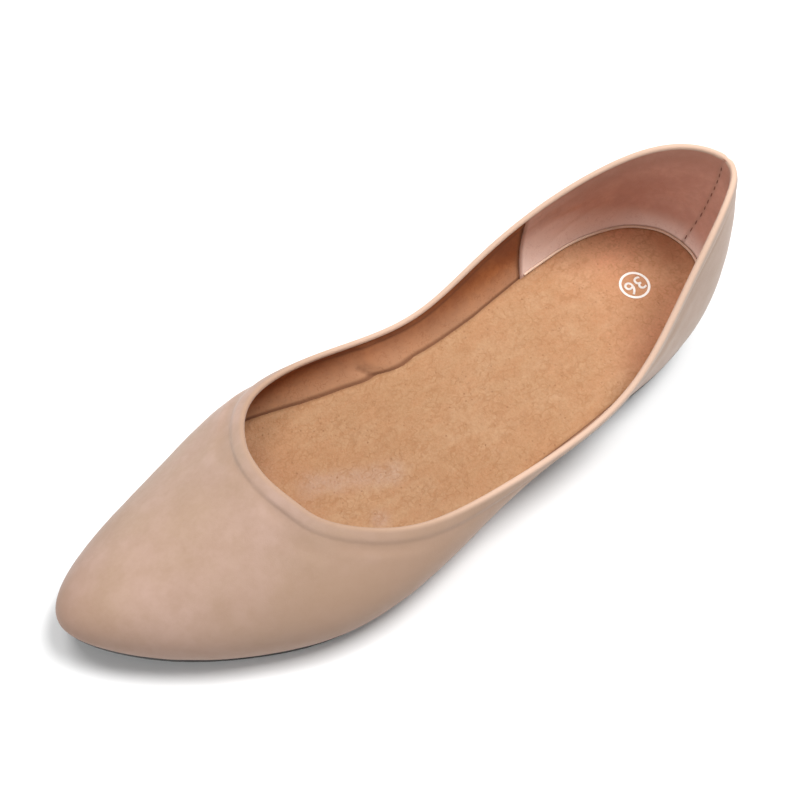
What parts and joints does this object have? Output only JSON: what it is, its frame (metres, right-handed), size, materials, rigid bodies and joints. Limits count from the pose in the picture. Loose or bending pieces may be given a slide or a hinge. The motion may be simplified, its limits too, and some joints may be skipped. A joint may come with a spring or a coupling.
{
  "type": "pointed toe flat shoe",
  "caption": "Slip-on flat shoe for the left foot with a softly pointed toe, low-cut leather upper, suede insole, thin rubber sole and low heel.",
  "frame": {"origin": "on the floor under the middle of the shoe's box", "axes": "toe along -Y, heel along +Y, outer side of the left foot along +X, up +Z"},
  "size_m": [0.0852, 0.2472, 0.069],
  "materials": {
    "nude_leather": "soft matte pale pink beige nubuck",
    "tan_pigskin": "tan pigskin suede with fine pores",
    "black_rubber": "matte black rubber"
  },
  "bodies": {
    "root": {"upper": "nude_leather", "insole": "tan_pigskin", "outsole": "black_rubber", "heel": "black_rubber"}
  },
  "joints": []
}
